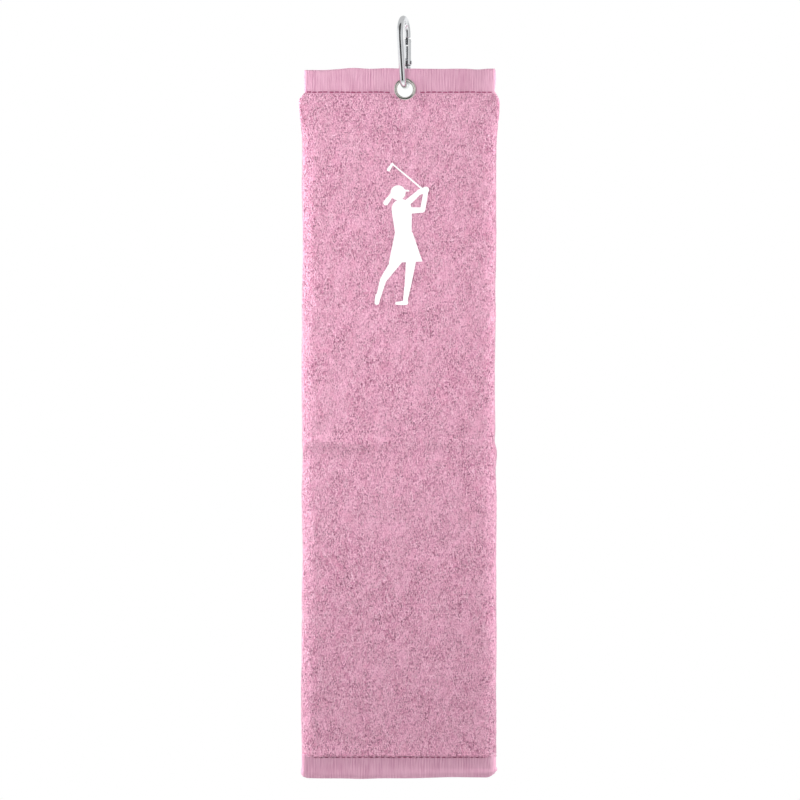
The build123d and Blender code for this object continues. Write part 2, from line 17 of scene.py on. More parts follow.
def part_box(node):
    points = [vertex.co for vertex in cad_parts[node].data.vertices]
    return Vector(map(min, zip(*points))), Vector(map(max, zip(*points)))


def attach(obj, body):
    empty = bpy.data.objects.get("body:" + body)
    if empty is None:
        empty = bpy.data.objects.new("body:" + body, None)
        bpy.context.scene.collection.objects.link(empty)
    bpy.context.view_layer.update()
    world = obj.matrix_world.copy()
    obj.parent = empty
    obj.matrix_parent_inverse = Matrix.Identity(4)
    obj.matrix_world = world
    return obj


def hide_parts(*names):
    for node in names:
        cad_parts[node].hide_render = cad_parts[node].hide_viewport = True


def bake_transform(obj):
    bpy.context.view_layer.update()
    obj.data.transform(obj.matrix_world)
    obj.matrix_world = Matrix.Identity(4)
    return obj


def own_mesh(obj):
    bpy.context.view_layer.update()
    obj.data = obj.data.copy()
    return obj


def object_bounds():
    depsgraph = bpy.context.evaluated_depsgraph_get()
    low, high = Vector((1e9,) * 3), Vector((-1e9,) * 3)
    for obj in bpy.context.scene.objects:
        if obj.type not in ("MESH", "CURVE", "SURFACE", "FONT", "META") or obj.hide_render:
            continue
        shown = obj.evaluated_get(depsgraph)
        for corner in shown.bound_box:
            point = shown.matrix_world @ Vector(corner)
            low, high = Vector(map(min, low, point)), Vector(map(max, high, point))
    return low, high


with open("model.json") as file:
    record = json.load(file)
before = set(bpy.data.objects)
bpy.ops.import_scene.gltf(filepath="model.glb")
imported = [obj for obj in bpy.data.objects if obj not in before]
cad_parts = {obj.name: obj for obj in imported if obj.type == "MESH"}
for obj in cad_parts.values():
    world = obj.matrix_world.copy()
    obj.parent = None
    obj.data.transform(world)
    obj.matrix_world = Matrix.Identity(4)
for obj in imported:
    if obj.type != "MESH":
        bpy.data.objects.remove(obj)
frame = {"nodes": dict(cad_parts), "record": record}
CAD_LOW, CAD_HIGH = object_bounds()
scene = bpy.context.scene
MM = 0.001


# ---- places, from the frame ----

def x_range(node):
    return [corner.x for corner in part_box(node)]


def z_range(node):
    return [corner.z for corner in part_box(node)]


EYELET = Vector(next(m for m in frame["record"]["mounts"] if m["name"] == "eyelet")["pos_m"])
MID_Y = EYELET.y  # the middle layer's own plane
LEFT_X, RIGHT_X = x_range("left_flap")[0], x_range("right_fold")[1]
TOP_HEM_FOOT, TOP_Z = z_range("top_hem")
BOTTOM_Z, BOTTOM_HEM_TOP = z_range("bottom_hem")
TOP_HEM_LEFT, TOP_HEM_RIGHT = x_range("top_hem")
TOP_HEM_LEFT += 0.3 * MM  # this hem lies a little to the right
TOP_HEM_RIGHT += 0.9 * MM
BOTTOM_HEM_LEFT, BOTTOM_HEM_RIGHT = x_range("bottom_hem")
LEFT_FLAP_EDGE, LEFT_FLAP_HEM_EDGE = x_range("left_flap_side_hem")
RIGHT_FLAP_EDGE, HINGE_X = x_range("right_flap")
RIGHT_FLAP_HEM_EDGE = x_range("right_flap_side_hem")[0]
FLAP_BOTTOM_LEFT, FLAP_BOTTOM_RIGHT = x_range("right_flap_bottom_hem")
MIDDLE_X = (LEFT_X + RIGHT_X) / 2

HEM_T, HEM_PITCH = 1.2 * MM, 1.35 * MM  # one pressed layer, and layer to layer
TERRY_T, TERRY_PITCH = 3.0 * MM, 3.5 * MM  # one terry layer, and layer to layer
BOTTOM_HEM_T, SIDE_HEM_T = 2.0 * MM, 2.0 * MM
LAST_ROW = 0.25 * MM  # a narrow last row keeps each foot crisp
TAIL_L, FLAP_LAP = 5 * MM, 1.2 * MM  # the right fold's end and the back layer overlap
LAP_SINK = 1.3 * MM  # and each sinks this far where they do
EYELET_CUT_R = 6.4 * MM  # the cloth's edge, hidden by the flanges
CREASE_Z = TOP_Z - 270 * MM  # the packing crease


# ---- noise and easing ----

def ease(t):
    t = np.clip(t, 0, 1)
    return t * t * (3 - 2 * t)


def lattice(x, y, cell_x, cell_y, seed):
    """Smooth noise from -1 to 1 over cells of that size."""
    gx, gy = np.asarray(x) / cell_x, np.asarray(y) / cell_y
    ix, iy = np.floor(gx).astype(np.int64), np.floor(gy).astype(np.int64)
    fx, fy = ease(gx - ix), ease(gy - iy)

    def value(i, j):
        n = (i * 374761393 + j * 668265263 + seed * 1442695041) & 0xFFFFFFFF
        n = ((n ^ (n >> 13)) * 1274126177) & 0xFFFFFFFF
        n = n ^ (n >> 16)
        return (n & 0xFFFF) / 32767.5 - 1

    low = value(ix, iy) * (1 - fx) + value(ix + 1, iy) * fx
    high = value(ix, iy + 1) * (1 - fx) + value(ix + 1, iy + 1) * fx
    return low * (1 - fy) + high * fy


def ripple(t, cell, seed):
    """The same noise along one line."""
    return lattice(t, 0 * t, cell, 1, seed)


def bump(t, centre, width):
    return np.exp(-((t - centre) / width) ** 2)


# ---- the folded ribbon ----

class Cloth:
    """A stretch of the folded ribbon down which its thickness, pitch and side edges may change."""

    def __init__(self, thickness, pitch, left, right):
        self.thickness, self.pitch, self.left, self.right = thickness, pitch, left, right

    def section(self, leg, share, z):
        """Middle of the cloth and its outward normal, along one leg of the ribbon at a height."""
        t, p = self.thickness(z), self.pitch(z)
        left, right = self.left(z) + (p + t) / 2, self.right(z) - (p + t / 2)
        flat = np.zeros_like(z + share)
        if leg in ("left_fold", "right_fold"):
            is_left = leg == "left_fold"
            angle = np.pi * (share + 0.5) if is_left else np.pi * (share - 0.5)
            radius = p / 2 if is_left else p
            x = (left if is_left else right) + radius * np.cos(angle)
            y = (MID_Y - p / 2 if is_left else MID_Y) + radius * np.sin(angle)
            return x, y, np.cos(angle), np.sin(angle), t
        starts = {"middle": (LEFT_FLAP_EDGE + flat, left), "front": (left, right),
                  "fold_tail": (right, right - TAIL_L),
                  "hem_middle": (LEFT_FLAP_HEM_EDGE + flat, left),
                  "hem_back": (right, RIGHT_FLAP_HEM_EDGE + flat),
                  "flap": (right + FLAP_LAP, RIGHT_FLAP_EDGE + flat),
                  "flap_foot": (FLAP_BOTTOM_RIGHT + flat, FLAP_BOTTOM_LEFT + flat),
                  "side_middle": (LEFT_FLAP_HEM_EDGE + flat, LEFT_FLAP_EDGE + flat),
                  "side_back": (RIGHT_FLAP_EDGE + flat, RIGHT_FLAP_HEM_EDGE + flat)}
        plane = {"middle": 0, "hem_middle": 0, "side_middle": 0, "front": -1}.get(leg, 1)
        x0, x1 = starts[leg]
        outward = -1 if leg == "front" else 1
        return x0 + (x1 - x0) * share, MID_Y + plane * p + flat, flat, flat + outward, t


def along(leg_steps):
    """Legs of the ribbon as (leg, shares) with each shared end given once."""
    return [(leg, np.linspace(0, 1, steps + 1)[min(i, 1):])
            for i, (leg, steps) in enumerate(leg_steps)]


def ribbon_face(cloth, legs, heights, side, relief):
    """One face of a ribbon as points, with each point's place on the cloth. side is 1 or -1."""
    columns = []
    for leg, shares in legs:
        s, z = np.meshgrid(shares, heights)
        columns.append([c + 0 * z for c in cloth.section(leg, s, z)] + [z])
    x, y, nx, ny, t, z = [np.concatenate([c[i] for c in columns], axis=1) for i in range(6)]
    run = np.hypot(np.diff(x, axis=1), np.diff(y, axis=1))
    u = np.concatenate([np.zeros((len(heights), 1)), np.cumsum(run, axis=1)], axis=1)
    u -= u.mean(axis=1, keepdims=True)
    out, down = relief(u, z, x, y, side)
    reach = side * t / 2 + out
    points = np.stack([x + nx * reach, y + ny * reach, z + down], axis=-1)
    layer = np.round((y - MID_Y) / cloth.pitch(z))
    return points, np.stack([u, z, 0 * u + side], axis=-1), layer


def zip_edges(a, b, a_at=None, b_at=None):
    """Triangles between two borders of vertex numbers, paired by how far along each vertex is."""
    a_at = np.linspace(0, 1, len(a)) if a_at is None else a_at
    b_at = np.linspace(0, 1, len(b)) if b_at is None else b_at
    faces, i, j = [], 0, 0
    while i < len(a) - 1 or j < len(b) - 1:
        if j == len(b) - 1 or (i < len(a) - 1 and a_at[i + 1] <= b_at[j + 1]):
            faces.append((a[i], a[i + 1], b[j]))
            i += 1
        else:
            faces.append((a[i], b[j + 1], b[j]))
            j += 1
    return faces


def grid_faces(numbers, flip):
    """Quads over a grid of vertex numbers."""
    a, b = numbers[:-1, :-1].ravel(), numbers[:-1, 1:].ravel()
    c, d = numbers[1:, 1:].ravel(), numbers[1:, :-1].ravel()
    return np.stack([d, c, b, a] if flip else [a, b, c, d], axis=1)


def add_object(name, data):
    added = bpy.data.objects.new(name, data)
    scene.collection.objects.link(added)
    return added


def keep_places(mesh, places):
    """Keeps each vertex's place on the cloth for the looks."""
    kept = mesh.attributes.new("cloth", "FLOAT_VECTOR", "POINT")
    kept.data.foreach_set("vector", np.asarray(places, np.float32).ravel())


def make_piece(name, points, faces, places, layers=None):
    """A smooth-shaded mesh object whose vertices keep their place on the cloth.

    Where layers numbers each vertex's layer, the eyelet's hole is cut through all of them.
    """
    if layers is not None:
        points, faces, places = open_eyelet(points, faces, places, layers)
    mesh = bpy.data.meshes.new(name)
    mesh.from_pydata(points.tolist(), [], [list(map(int, f)) for f in faces])
    mesh.update()
    mesh.polygons.foreach_set("use_smooth", [True] * len(mesh.polygons))
    keep_places(mesh, places)
    return add_object(name, mesh)


def faces_hole(points, face):
    """Whether a face of the eyelet's cut looks towards the eyelet's axis."""
    a, b, c = points[list(face)]
    normal = np.cross(b - a, c - a)
    return normal[0] * (EYELET.x - a[0]) + normal[2] * (EYELET.z - a[2]) > 0


def open_eyelet(points, faces, places, layers):
    """Cuts the eyelet's round hole, draws the cut edges onto its circle, and walls each layer's cut."""
    away = np.hypot(points[:, 0] - EYELET.x, points[:, 2] - EYELET.z)
    kept, in_kept, in_cut = [], np.zeros(len(points), bool), np.zeros(len(points), bool)
    for f in faces:
        if away[list(f)].mean() > EYELET_CUT_R:
            kept.append(f)
            in_kept[list(f)] = True
        else:
            in_cut[list(f)] = True
    border = np.flatnonzero(in_kept & in_cut)
    for axis, centre in ((0, EYELET.x), (2, EYELET.z)):
        points[border, axis] = centre + (points[border, axis] - centre) * EYELET_CUT_R / away[border]
    upward = 1 if points[:, 2].mean() > EYELET.z else -1
    angle = np.arctan2(points[:, 0] - EYELET.x, upward * (points[:, 2] - EYELET.z))
    for number in np.unique(layers[border]):
        outer, inner = [sorted((v for v in border if layers[v] == number and places[v, 2] == side),
                               key=lambda v: angle[v]) for side in (1, -1)]
        if outer and inner:
            wall = zip_edges(outer, inner, angle[outer], angle[inner])
            kept += [f if faces_hole(points, f) else f[::-1] for f in wall]
    new_number = np.cumsum(in_kept) - 1
    return points[in_kept], [[new_number[v] for v in f] for f in kept], places[in_kept]


def ribbon(name, cloth, legs, row_steps, relief, rows, cut_eyelet=False):
    """A closed piece of cloth. legs are (leg, outer steps, inner steps), and rows (top, foot)."""
    both_legs = [along([(leg, steps[i]) for leg, *steps in legs]) for i in (0, 1)]
    sheets = []
    for face_legs, row_step, side in zip(both_legs, row_steps, (1, -1)):
        count = max(2, round((rows[0] - rows[1]) / row_step))
        heights = np.append(np.linspace(rows[0], rows[1] + LAST_ROW, count), rows[1])
        sheets.append(ribbon_face(cloth, face_legs, heights, side, relief))
    (out_points, out_places, out_layer), (in_points, in_places, in_layer) = sheets
    a = np.arange(out_points[..., 0].size).reshape(out_points.shape[:2])
    b = np.arange(in_points[..., 0].size).reshape(in_points.shape[:2]) + a.size
    faces = [*grid_faces(a, False).tolist(), *grid_faces(b, True).tolist()]
    a_at, b_at = [np.concatenate([i + shares for i, (_, shares) in enumerate(face_legs)])
                  for face_legs in both_legs]
    faces += zip_edges(a[0][::-1], b[0][::-1], -a_at[::-1], -b_at[::-1])
    faces += zip_edges(a[-1], b[-1], a_at, b_at)
    faces += zip_edges(a[:, 0], b[:, 0]) + zip_edges(a[::-1, -1], b[::-1, -1])
    points = np.concatenate([out_points.reshape(-1, 3), in_points.reshape(-1, 3)])
    places = np.concatenate([out_places.reshape(-1, 3), in_places.reshape(-1, 3)])
    layers = np.concatenate([out_layer.ravel(), in_layer.ravel()])
    return make_piece(name, points, faces, places, layers if cut_eyelet else None)


def constant(value):
    return lambda z: value + 0 * z


# ---- the printed figure's outline ----

def figure_grid(cell):
    """The print's front face, cut along a grid so that it can follow the pile."""
    grid = bmesh.new()
    grid.from_mesh(frame["nodes"]["golfer_print"].data)
    front = min(v.co.y for v in grid.verts)
    behind = [v for v in grid.verts if v.co.y > front + 0.01 * MM]
    bmesh.ops.delete(grid, geom=behind, context="VERTS")
    bmesh.ops.remove_doubles(grid, verts=grid.verts, dist=0.002 * MM)
    low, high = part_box("golfer_print")
    for axis in (0, 2):
        normal = Vector((axis == 0, 0, axis == 2))
        for i in range(1, int((high[axis] - low[axis]) / cell) + 1):
            place = low + normal * (i * cell)
            everything = grid.verts[:] + grid.edges[:] + grid.faces[:]
            bmesh.ops.bisect_plane(grid, geom=everything, plane_co=place, plane_no=normal)
    bmesh.ops.triangulate(grid, faces=grid.faces)
    return grid, front


FIGURE, FIGURE_Y = figure_grid(0.9 * MM)
FIGURE_TREE = BVHTree.FromBMesh(FIGURE)


def pressed(x, z):
    """1 under the print, where the film lays the pile flat, fading to 0 just outside it."""
    margin = 1.4 * MM
    low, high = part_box("golfer_print")
    result = np.zeros(np.shape(x))
    near = ((x > low.x - margin) & (x < high.x + margin)
            & (z > low.z - margin) & (z < high.z + margin))
    for i in np.argwhere(near):
        spot = Vector((x[tuple(i)], FIGURE_Y, z[tuple(i)]))
        away = FIGURE_TREE.find_nearest(spot)[3]
        result[tuple(i)] = 1 - min(away / margin, 1)
    return result


# ---- relief of the terry and of the hems ----

EDGE_DROP, EDGE_RUN, EDGE_START = 3.0 * MM, 12 * MM, 1.2 * MM  # fall of the face to a fold
EDGE_OUT = 1.0 * MM  # how far the pile stands out past a fold
HEM_FALL = (0.75 * MM, 7 * MM, 0.6 * MM)  # the same on the top hem, which is thinner
SHOULDER_H = 7 * MM  # down which the terry widens from the top hem
TERRY_FOOT = BOTTOM_HEM_TOP + 0.6 * MM  # the pile hangs a little over the hem


def swell(z):
    """0 beside the top hem, where the eyelet presses the layers, to 1 where the pile is full."""
    return ease((TOP_HEM_FOOT - 8 * MM - z) / (32 * MM))


def fall_off(x, left, right, drop, run, start):
    """How far a face falls back towards its folds at left and right."""
    beside = np.minimum(x - left, right - x)
    return drop * (1 - np.clip(beside, start, run) / run) ** 2


def slope_off(x):
    return fall_off(x, LEFT_X, RIGHT_X, EDGE_DROP, EDGE_RUN, EDGE_START)


def edge_wave(z, long_wave, short_wave, seed):
    """How a fold wanders in and out down the towel."""
    return 0.45 * MM * ripple(z, long_wave, seed) + 0.25 * MM * ripple(z, short_wave, seed + 1)


def shoulder(z):
    """0 at the top hem to 1 where the terry has its full width."""
    return ease((TOP_HEM_FOOT - z) / SHOULDER_H)


def terry_left(z):
    wave = edge_wave(z, 55 * MM, 17 * MM, 3)
    return TOP_HEM_LEFT + (LEFT_X - TOP_HEM_LEFT - EDGE_OUT - wave) * shoulder(z)


def terry_right(z):
    wave = edge_wave(z, 60 * MM, 19 * MM, 5)
    buckle = 0.9 * MM * (bump(z, CREASE_Z - 6 * MM, 7 * MM) - bump(z, CREASE_Z + 3 * MM, 5 * MM))
    return TOP_HEM_RIGHT + (RIGHT_X - TOP_HEM_RIGHT + EDGE_OUT + wave + buckle) * shoulder(z)


def pile(u, z):
    """Clumps of loops: short cells that lean down the cloth, finer ones over broader ones."""
    lean = 0.6 * MM * lattice(u, z, 5 * MM, 9 * MM, 11)
    fine = lattice(u + lean, z, 1.5 * MM, 1.9 * MM, 12)
    loops = lattice(u - lean, z + lean, 2.4 * MM, 3.4 * MM, 13)
    clumps = lattice(u, z, 6 * MM, 11 * MM, 14)
    return 0.20 * MM * fine + 0.17 * MM * loops + 0.16 * MM * clumps


def crease(x, z, behind):
    """The packing crease: a ridge over a valley, deepest on the left and fainter on the back."""
    wander = CREASE_Z - 3.6 * MM + 1.6 * MM * ripple(x, 30 * MM, 23)
    strength = (0.35 + ease((-10 * MM - x) / (18 * MM))) * np.where(behind, 0.35, 1)
    valley = wander - 2.5 * MM
    return strength * (0.95 * MM * bump(z, wander + 5 * MM, 4 * MM)
                       - 1.15 * MM * bump(z, valley, np.where(z > valley, 4 * MM, 10 * MM)))


def terry_relief(u, z, x, y, side):
    """Pile all over, soft rolls of the cloth, the packing crease, and a foot that hangs out."""
    full = swell(z)
    depth = pile(u, z) * (0.45 + 0.55 * full)
    if side < 0:
        return depth * 0.5, 0 * z
    inside = 1 - slope_off(x) / EDGE_DROP  # 1 away from the folds
    flat = np.where(y < MID_Y - 1 * MM, pressed(x, z), 0)
    depth = depth * (1 - 0.8 * flat) * (0.15 + 0.85 * inside) - 0.12 * MM * flat
    rolls = (0.45 * MM * lattice(x, z, 46 * MM, 120 * MM, 21)
             + 0.3 * MM * lattice(x, z, 28 * MM, 60 * MM, 22))
    overhang = 0.4 * MM * ease((TERRY_FOOT + 9 * MM - z) / (8 * MM)) * inside
    lip = -0.7 * MM * bump(z, TOP_HEM_FOOT, 1.1 * MM)
    out = depth + full * (rolls - slope_off(x)) + inside * crease(x, z, y > MID_Y) + overhang + lip
    edge = ease((TERRY_FOOT + 5 * MM - z) / (5 * MM))
    down = -edge * (0.30 * MM * (1 + ripple(u, 2.6 * MM, 24))
                    + 0.35 * MM * (1 + ripple(u, 9 * MM, 25)))
    return out, down


def past_right_fold(x, z):
    """How far behind the right fold a point is, from where the fold's round ends."""
    return terry.right(z) - (terry.pitch(z) + terry.thickness(z) / 2) - x


def front_relief(u, z, x, y, side):
    """Terry whose end behind the right fold sinks into the back layer."""
    out, down = terry_relief(u, z, x, y, side)
    behind = y > MID_Y + 0.999 * terry.pitch(z)
    share = ease((past_right_fold(x, z) + 0.5 * MM) / (TAIL_L - 1 * MM))
    return out - behind * side * LAP_SINK * share * swell(z), down


def flap_relief(u, z, x, y, side):
    """Terry whose edge beside the right fold sinks into the fold."""
    out, down = terry_relief(u, z, x, y, side)
    share = 1 - ease((past_right_fold(x, z) + FLAP_LAP) / (3.2 * MM))
    return out - side * LAP_SINK * share * swell(z), down


def hem_waves(x, z):
    """How the top hem's upper edge rises and falls."""
    droop = -0.9 * MM * ease((TOP_HEM_LEFT + 34 * MM - x) / (20 * MM))
    dip = -0.7 * MM * bump(x, TOP_HEM_RIGHT - 13 * MM, 6 * MM)
    return (0.55 * MM * ripple(x, 30 * MM, 31) + 0.35 * MM * ripple(x, 12 * MM, 32)
            + droop + dip)


def ribs(u, z, strength):
    """Fine upright ribs of a flat-woven hem, uneven in spacing and fading out in patches."""
    drift = 0.9 * MM * lattice(u, z, 8 * MM, 9 * MM, 33)
    patch = 0.65 + 0.6 * lattice(u, z, 13 * MM, 16 * MM, 38)
    slub = lattice(u, z, 2.1 * MM, 14 * MM, 39)
    return strength * (patch * np.cos(2 * np.pi * (u + drift) / (1.9 * MM)) + 0.8 * slub)


def top_hem_relief(u, z, x, y, side):
    """Ribs, a rounded upper edge, and a belly between it and the puckered seam."""
    height = (z - TOP_HEM_FOOT) / (TOP_Z - TOP_HEM_FOOT)
    pucker = 1 + 0.9 * ripple(x, 8 * MM, 42)
    round_top = -0.5 * MM * ease((height - 0.90) / 0.10)
    tucked = -MM * pucker * (0.35 * bump(height, 0.05, 0.07) + 0.16 * bump(height, 0.2, 0.12))
    belly = 0.30 * MM * bump(height, 0.55, 0.45) - fall_off(x, TOP_HEM_LEFT, TOP_HEM_RIGHT, *HEM_FALL)
    rolls = 0.22 * MM * lattice(x, z, 21 * MM, 30 * MM, 34)
    out = ribs(u, z, 0.07 * MM) + round_top + tucked + (belly + rolls if side > 0 else 0 * z)
    return out, hem_waves(x, z) * ease(height)


def bottom_hem_relief(u, z, x, y, side):
    """Ribs, a turned edge that is plainer to the right, and a foot that lifts at both ends."""
    height = (z - BOTTOM_Z) / (BOTTOM_HEM_TOP - BOTTOM_Z)
    round_foot = -0.8 * MM * ease((0.12 - height) / 0.12)
    to_right = 0.4 + 0.6 * ease((x + 20 * MM) / (50 * MM))
    turned = to_right * MM * (0.75 * ease((0.44 - height) / 0.20) - 0.80 * ease((0.17 - height) / 0.10))
    rolls = (0.30 * MM * lattice(x, z, 24 * MM, 30 * MM, 35)
             + 0.22 * MM * lattice(x, z, 9 * MM, 7 * MM, 43))
    out = ribs(u, z, 0.05 * MM) + round_foot + (turned + rolls if side > 0 else 0 * z)
    reach_left = ease((BOTTOM_HEM_LEFT + 4 * MM - x) / (4 * MM))
    reach_right = ease((x - BOTTOM_HEM_RIGHT + 9 * MM) / (9 * MM))
    wave = 0.7 * MM * ripple(x, 40 * MM, 36) + 0.35 * MM * ripple(x, 15 * MM, 37)
    lift = 0.4 * MM + 1.1 * MM * reach_left + 3.2 * MM * reach_right ** 2
    return out, (lift + wave) * (1 - ease(height / 0.8))


def side_hem_relief(u, z, x, y, side):
    """Level picks."""
    return 0.10 * MM * np.cos(2 * np.pi * z / (1.4 * MM)), 0 * z


# ---- cloth pieces ----

terry = Cloth(lambda z: HEM_T + (TERRY_T - HEM_T) * swell(z),
              lambda z: HEM_PITCH + (TERRY_PITCH - HEM_PITCH) * swell(z), terry_left, terry_right)
top_band = Cloth(constant(HEM_T), constant(HEM_PITCH), constant(TOP_HEM_LEFT),
                 constant(TOP_HEM_RIGHT))
bottom_band = Cloth(constant(BOTTOM_HEM_T), constant(TERRY_PITCH),
                    constant(BOTTOM_HEM_LEFT - 0.5 * MM), constant(BOTTOM_HEM_RIGHT))
side_band = Cloth(lambda z: np.minimum(terry.thickness(z), SIDE_HEM_T), terry.pitch, terry_left,
                  terry_right)
TERRY_ROWS = (TOP_HEM_FOOT, TERRY_FOOT)

front_terry = ribbon(
    "front_terry", terry,
    [("left_fold", 12, 6), ("front", 142, 52), ("right_fold", 18, 8), ("fold_tail", 5, 2)],
    (0.98 * MM, 2.6 * MM), front_relief, TERRY_ROWS, True)
middle_terry = ribbon("middle_terry", terry, [("middle", 60, 40)], (2.2 * MM, 3.2 * MM),
                      terry_relief, TERRY_ROWS, True)
back_terry = ribbon("back_terry", terry, [("flap", 134, 60)], (1.0 * MM, 2.1 * MM), flap_relief,
                    TERRY_ROWS, True)
top_hem = ribbon(
    "top_hem_cloth", top_band,
    [("hem_middle", 60, 40), ("left_fold", 8, 6), ("front", 400, 60), ("right_fold", 12, 8),
     ("hem_back", 380, 60)],
    (1.0 * MM, 2.0 * MM), top_hem_relief, (TOP_Z, TOP_HEM_FOOT - 1.7 * MM), True)
BOTTOM_HEM_ROWS = (BOTTOM_HEM_TOP + 1.5 * MM, BOTTOM_Z)
bottom_hem = ribbon(
    "bottom_hem_cloth", bottom_band,
    [("hem_middle", 60, 40), ("left_fold", 12, 8), ("front", 400, 60), ("right_fold", 16, 10)],
    (1.0 * MM, 2.0 * MM), bottom_hem_relief, BOTTOM_HEM_ROWS)
flap_hem = ribbon("flap_bottom_hem_cloth", bottom_band, [("flap_foot", 390, 60)],
                  (1.0 * MM, 2.0 * MM), bottom_hem_relief, BOTTOM_HEM_ROWS)
SIDE_HEM_ROWS = (TOP_HEM_FOOT, BOTTOM_HEM_TOP + 0.3 * MM)
middle_side_hem = ribbon("middle_side_hem_cloth", side_band, [("side_middle", 12, 6)],
                         (0.5 * MM, 1.5 * MM), side_hem_relief, SIDE_HEM_ROWS)
back_side_hem = ribbon("back_side_hem_cloth", side_band, [("side_back", 12, 6)],
                       (0.5 * MM, 1.5 * MM), side_hem_relief, SIDE_HEM_ROWS)


# ---- yarn loops ----

def surface_of(piece):
    """The piece's vertices, their normals and their places on the cloth."""
    mesh = piece.data
    count = len(mesh.vertices)
    spots, normals, places = (np.empty(count * 3, np.float32) for _ in range(3))
    mesh.vertices.foreach_get("co", spots)
    mesh.vertex_normals.foreach_get("vector", normals)
    mesh.attributes["cloth"].data.foreach_get("vector", places)
    return [a.reshape(-1, 3).astype(float) for a in (spots, normals, places)]


def unit(vectors):
    return vectors / (np.linalg.norm(vectors, axis=-1, keepdims=True) + 1e-9)


def yarn_loops(name, spots, outs, places, height, yarn, rng):
    """Loops of yarn that stand out of the cloth at those spots, each leaning its own way."""
    count, rings, sides = len(spots), 6, 4
    turn = rng.uniform(0, 2 * np.pi, count)
    fall = np.array([0, 0, -1.0])
    down = unit(fall - outs * (outs @ fall)[:, None])
    cross = np.cross(outs, down)
    along_loop = cross * np.cos(turn)[:, None] + down * np.sin(turn)[:, None]
    lean = unit(outs + down * rng.uniform(0.3, 1.5, (count, 1))
                + cross * rng.normal(0, 0.35, (count, 1)))
    tall = height * rng.uniform(0.7, 1.25, (count, 1, 1))
    wide = height * rng.uniform(0.32, 0.55, (count, 1, 1))
    angle = np.linspace(math.radians(-25), math.radians(205), rings)[None, :, None]
    path = (spots[:, None] + along_loop[:, None] * wide * np.cos(angle)
            + lean[:, None] * tall * np.sin(angle))
    sideways = np.cross(along_loop, lean)[:, None]
    path += sideways * wide * 0.5 * np.cos(angle) * rng.uniform(-1, 1, (count, 1, 1))
    across = unit(sideways + 0 * path)
    other = np.cross(unit(np.gradient(path, axis=1)), across)
    thick = yarn * rng.uniform(0.85, 1.2, (count, 1, 1, 1))
    spin = (np.arange(sides) * 2 * np.pi / sides)[:, None]
    ring = across[:, :, None] * np.cos(spin) + other[:, :, None] * np.sin(spin)
    points = (path[:, :, None] + ring * thick).reshape(-1, 3)
    number = np.arange(count * rings * sides).reshape(count, rings, sides)
    after = np.roll(number, -1, axis=2)
    walls = np.stack([number[:, :-1], after[:, :-1], after[:, 1:], number[:, 1:]], axis=-1)
    caps = np.concatenate([number[:, 0, ::-1], number[:, -1]])
    loop_places = np.repeat(places, rings * sides, axis=0)
    loop_places[:, 1] += np.tile(np.repeat(np.arange(rings) * 0.4 * MM, sides), count)
    return make_piece(name, points, walls.reshape(-1, 4).tolist() + caps.tolist(), loop_places)


def scatter(piece, keep, spacing, rng):
    """A random, evenly thinned choice of the piece's vertices where keep is true."""
    spots, normals, places = surface_of(piece)
    wanted = np.flatnonzero(keep(spots, places))
    cell = np.floor(places[wanted, :2] / spacing)
    order = rng.permutation(len(wanted))
    _, first = np.unique(cell[order], axis=0, return_index=True)
    chosen = wanted[order[np.sort(first)]]
    shift = rng.uniform(-0.35, 0.35, (len(chosen), 2)) * spacing
    moved = spots[chosen].copy()
    moved[:, 2] += shift[:, 1]
    return moved, normals[chosen], places[chosen]


# ---- the print and the stitching ----

def surface_tree(piece):
    """A tree to find the piece's surface with, from the front or the back."""
    grid = bmesh.new()
    grid.from_mesh(piece.data)
    return BVHTree.FromBMesh(grid)


def surface_y(tree, x, z, side):
    """Where a line along Y meets the surface, from the front (-1) or the back (1)."""
    return tree.ray_cast(Vector((x, side, z)), Vector((0, -side, 0)))[0].y


FILM_LIFT, FILM_T = 0.16 * MM, 0.14 * MM  # how far it lies above the pile, and its thickness


def golfer_film():
    """The film: the figure laid on the pressed pile, with a thin edge."""
    tree = surface_tree(front_terry)
    for vert in FIGURE.verts:
        vert.co.y = surface_y(tree, vert.co.x, vert.co.z, -1) - FILM_LIFT
    bmesh.ops.recalc_face_normals(FIGURE, faces=FIGURE.faces)
    if sum(f.normal.y for f in FIGURE.faces) > 0:
        bmesh.ops.reverse_faces(FIGURE, faces=FIGURE.faces)
    lower = bmesh.ops.extrude_face_region(FIGURE, geom=FIGURE.faces[:])["geom"]
    for element in lower:
        if isinstance(element, bmesh.types.BMVert):
            element.co.y -= FILM_T
    bmesh.ops.recalc_face_normals(FIGURE, faces=FIGURE.faces)
    mesh = bpy.data.meshes.new("golfer_film")
    FIGURE.to_mesh(mesh)
    keep_places(mesh, [(v.co.x, v.co.z, 1) for v in mesh.vertices])
    return add_object("golfer_film", mesh)


